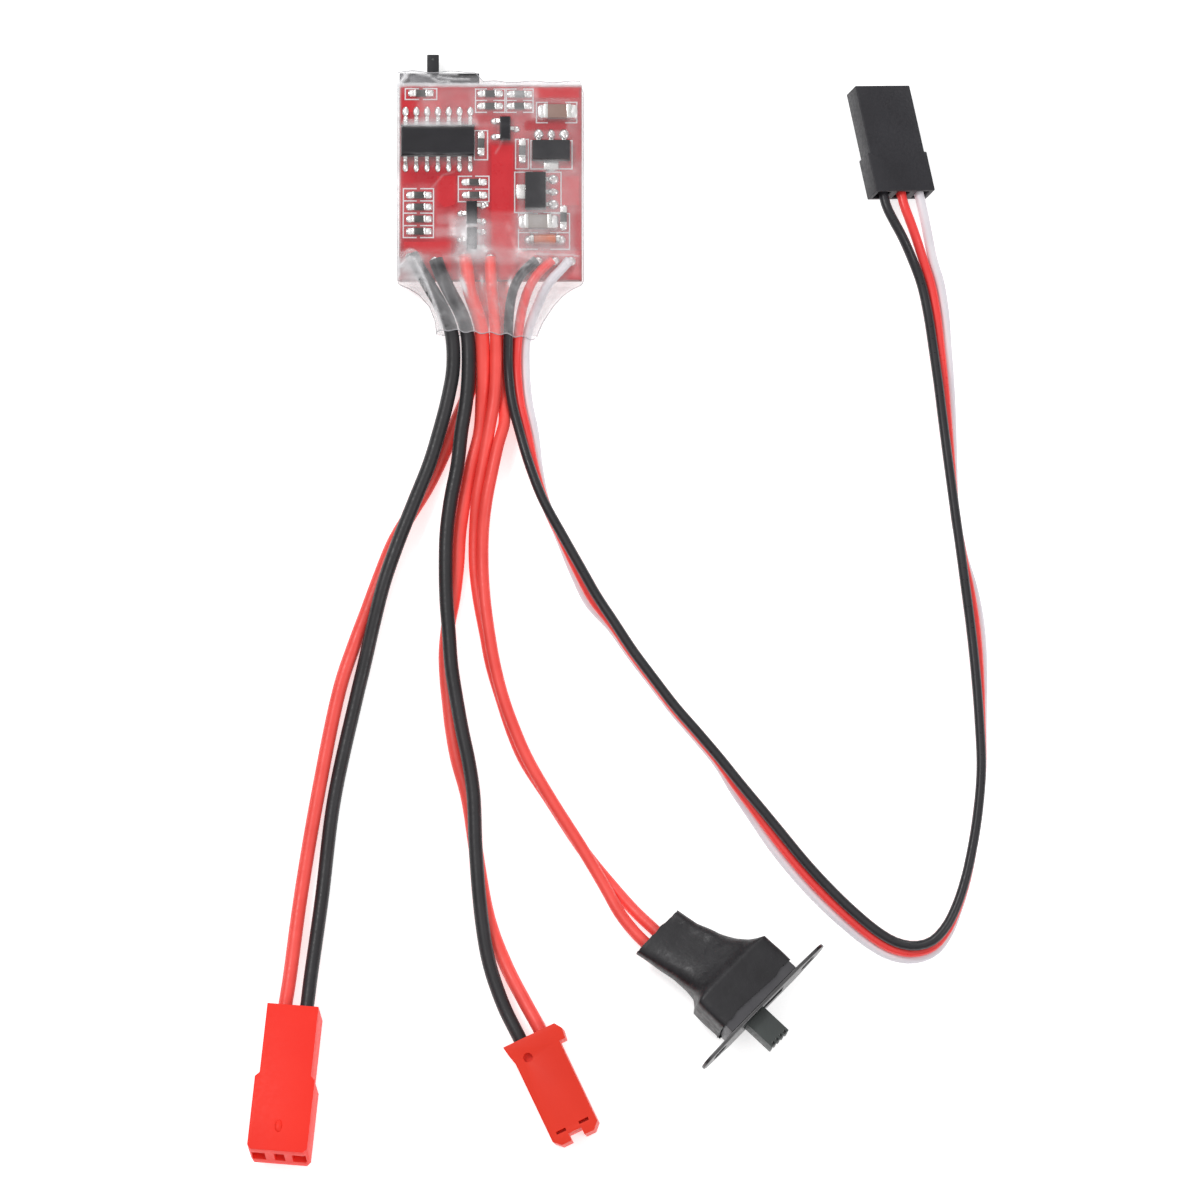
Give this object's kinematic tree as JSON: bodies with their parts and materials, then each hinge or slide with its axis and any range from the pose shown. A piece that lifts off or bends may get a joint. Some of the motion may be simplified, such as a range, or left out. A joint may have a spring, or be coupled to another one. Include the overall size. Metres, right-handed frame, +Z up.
{
  "type": "electronic speed controller",
  "caption": "Small brushed-motor speed controller: a red circuit board in a clear shrink sleeve, with wired battery, motor and receiver plugs and a sleeved slide switch.",
  "frame": {"origin": "on the surface that the controller lies on, under the middle of the sleeve and board", "axes": "+Z up off the surface, +Y along the board towards the brake switch's lever, -Y the way that the wires leave, +X across the board towards the receiver lead"},
  "size_m": [0.0863, 0.1323, 0.0088],
  "materials": {
    "board_red": "glass-fibre board under a red solder mask, satin",
    "chip_plastic": "moulded epoxy, matt",
    "chip_part_ceramic": "glazed black ceramic with tinned ends",
    "capacitor_brown": "brown ceramic with tinned ends",
    "capacitor_grey": "grey-brown ceramic with tinned ends",
    "diode_glass": "amber glass with metal end caps",
    "switch_steel": "thin pressed steel, satin",
    "switch_base_black": "black laminate, matt",
    "lever_black": "black moulded plastic, satin",
    "lever_grey": "dark grey moulded plastic, satin",
    "sleeve_clear": "clear shrink film with a milky haze",
    "wire_black": "silicone rubber, soft satin",
    "wire_red": "silicone rubber, soft satin",
    "wire_white": "smooth vinyl, satin",
    "battery_plug_red": "bright red moulded plastic, slightly translucent",
    "motor_plug_red": "red moulded plastic, satin",
    "receiver_plug_black": "black moulded plastic, satin",
    "contact_tin": "tinned metal",
    "contact_brass": "plated brass",
    "contact_copper": "copper alloy",
    "shrink_black": "heat-shrink sleeve, soft satin"
  },
  "bodies": {
    "controller": {"circuit_board": "board_red", "control_chip": "chip_plastic", "regulator_a": "chip_plastic", "regulator_b": "chip_plastic", "transistor_1": "chip_plastic", "transistor_2": "chip_plastic", "transistor_3": "chip_plastic", "bridge_mosfet_1": "chip_plastic", "bridge_mosfet_2": "chip_plastic", "bridge_mosfet_3": "chip_plastic", "bridge_mosfet_4": "chip_plastic", "chip_part_1": "chip_part_ceramic", "chip_part_2": "chip_part_ceramic", "chip_part_3": "chip_part_ceramic", "chip_part_4": "chip_part_ceramic", "chip_part_5": "chip_part_ceramic", "chip_part_6": "chip_part_ceramic", "chip_part_7": "chip_part_ceramic", "chip_part_8": "chip_part_ceramic", "chip_part_9": "chip_part_ceramic", "chip_part_10": "chip_part_ceramic", "chip_part_11": "chip_part_ceramic", "chip_part_12": "chip_part_ceramic", "chip_part_13": "chip_part_ceramic", "chip_part_14": "chip_part_ceramic", "filter_capacitor_1": "capacitor_brown", "filter_capacitor_2": "capacitor_grey", "diode": "diode_glass", "brake_switch_shell": "switch_steel", "brake_switch_base": "switch_base_black", "clear_sleeve": "sleeve_clear", "battery_black": "wire_black", "battery_red": "wire_red", "motor_black": "wire_black", "motor_red": "wire_red", "switch_wire_a": "wire_red", "switch_wire_b": "wire_red", "receiver_black": "wire_black", "receiver_red": "wire_red", "receiver_white": "wire_white", "battery_plug_housing": "battery_plug_red", "battery_contact_1": "contact_tin", "battery_contact_2": "contact_tin", "motor_plug_housing": "motor_plug_red", "motor_pin_1": "contact_tin", "motor_pin_2": "contact_tin", "receiver_plug_housing": "receiver_plug_black", "receiver_contact_1": "contact_brass", "receiver_contact_2": "contact_brass", "receiver_contact_3": "contact_brass", "power_switch_frame": "switch_steel", "power_switch_base": "switch_base_black", "power_terminal_1": "contact_tin", "power_terminal_2": "contact_tin", "power_terminal_3": "contact_tin", "power_switch_sleeve": "shrink_black"},
    "brake_slider": {"brake_slider": "lever_black"},
    "power_slider": {"power_slider": "lever_grey", "power_moving_contact": "contact_copper"}
  },
  "joints": [
    {"name": "brake_slide", "type": "slide", "parent": "controller", "child": "brake_slider", "axis": [1, 0, 0], "range_m": [0, 0.00154]},
    {"name": "power_slide", "type": "slide", "parent": "controller", "child": "power_slider", "axis": [0.6786, 0.7176, -0.1564], "range_m": [0, 0.0034]}
  ]
}
